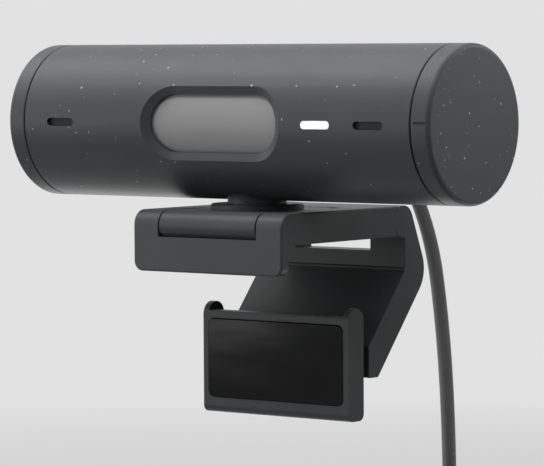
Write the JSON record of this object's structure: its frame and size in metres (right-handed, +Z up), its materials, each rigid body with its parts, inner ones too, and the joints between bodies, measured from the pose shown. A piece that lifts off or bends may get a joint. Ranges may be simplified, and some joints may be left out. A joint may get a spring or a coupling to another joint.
{
  "type": "webcam",
  "caption": "Tube-shaped webcam with an end dial that turns a curved privacy shutter, on a tilting, swivelling, folding monitor clip, with a coiled lead and USB-C plug",
  "frame": {"origin": "middle of the clip's seat, the underside that rests on a monitor's top edge, under the axis on which the camera swivels", "axes": "+X along the tube towards the dial, +Y towards the back of the monitor, +Z up; the lens looks along -Y"},
  "size_m": [0.1064, 0.0888, 0.1665],
  "materials": {
    "graphite_shell": "satin graphite with fine pale flecks",
    "graphite_clip": "satin graphite",
    "shutter_grey": "satin warm grey",
    "inner_plastic": "matte black",
    "board": "green solder mask",
    "chip": "moulded black",
    "lens_glass": "coated glass",
    "panel_gloss": "gloss black",
    "light_white": "lit white",
    "slot_black": "matte black",
    "brass": "turned",
    "steel": "plain",
    "swivel_black": "matte black",
    "pad_rubber": "soft matte",
    "pad_gloss": "gloss black",
    "cord_jacket": "satin jacket",
    "tie_band": "soft matte",
    "plug_grip": "satin",
    "plug_steel": "drawn"
  },
  "bodies": {
    "clip": {"clip_base": "graphite_clip", "seat_pad": "pad_rubber", "lip_pad": "pad_rubber", "tilt_pin": "steel", "leg_pin": "steel"},
    "tilt": {"tilt_plate": "graphite_clip", "swivel_washer": "swivel_black"},
    "camera": {"housing_tube": "graphite_shell", "left_end_cap": "graphite_shell", "core_frame": "inner_plastic", "main_board": "board", "board_screws": "steel", "lens_mount": "inner_plastic", "lens_barrel": "inner_plastic", "front_lens": "lens_glass", "lens_window": "panel_gloss", "status_led": "chip", "light_pipe": "light_white", "microphones": "chip", "mic_inserts": "slot_black", "thread_insert": "brass", "swivel_disc": "graphite_clip", "swivel_stud": "steel", "swivel_retainer": "steel", "cable_gland": "cord_jacket", "cable_run": "cord_jacket", "cable_coil": "cord_jacket", "coil_tie": "tie_band", "usb_plug_body": "plug_grip", "usb_plug_shell": "plug_steel", "usb_insulator": "slot_black"},
    "dial": {"dial_cap": "graphite_shell", "dial_mark": "slot_black", "dial_clip": "steel", "shutter": "shutter_grey"},
    "leg": {"rear_leg": "graphite_clip", "foot_pin": "steel"},
    "foot": {"foot_frame": "graphite_clip", "foot_pad": "pad_gloss"}
  },
  "joints": [
    {"name": "camera_tilt", "type": "hinge", "parent": "clip", "child": "tilt", "pos_m": [0, -0.01355, 0.0035], "axis": [1, 0, 0], "range_deg": [0, 85]},
    {"name": "camera_swivel", "type": "hinge", "parent": "tilt", "child": "camera", "pos_m": [0, 0, 0], "axis": [0, 0, 1], "range_deg": [-90, 90]},
    {"name": "shutter_dial", "type": "hinge", "parent": "camera", "child": "dial", "pos_m": [0, 0, 0.024], "axis": [-1, 0, 0], "range_deg": [0, 75]},
    {"name": "leg_hinge", "type": "hinge", "parent": "clip", "child": "leg", "pos_m": [0, 0.0249, 0.00325], "axis": [1, 0, 0], "range_deg": [-30, 55]},
    {"name": "foot_pivot", "type": "hinge", "parent": "leg", "child": "foot", "pos_m": [0, 0.009, -0.0252], "axis": [1, 0, 0], "range_deg": [-18, 18]}
  ]
}
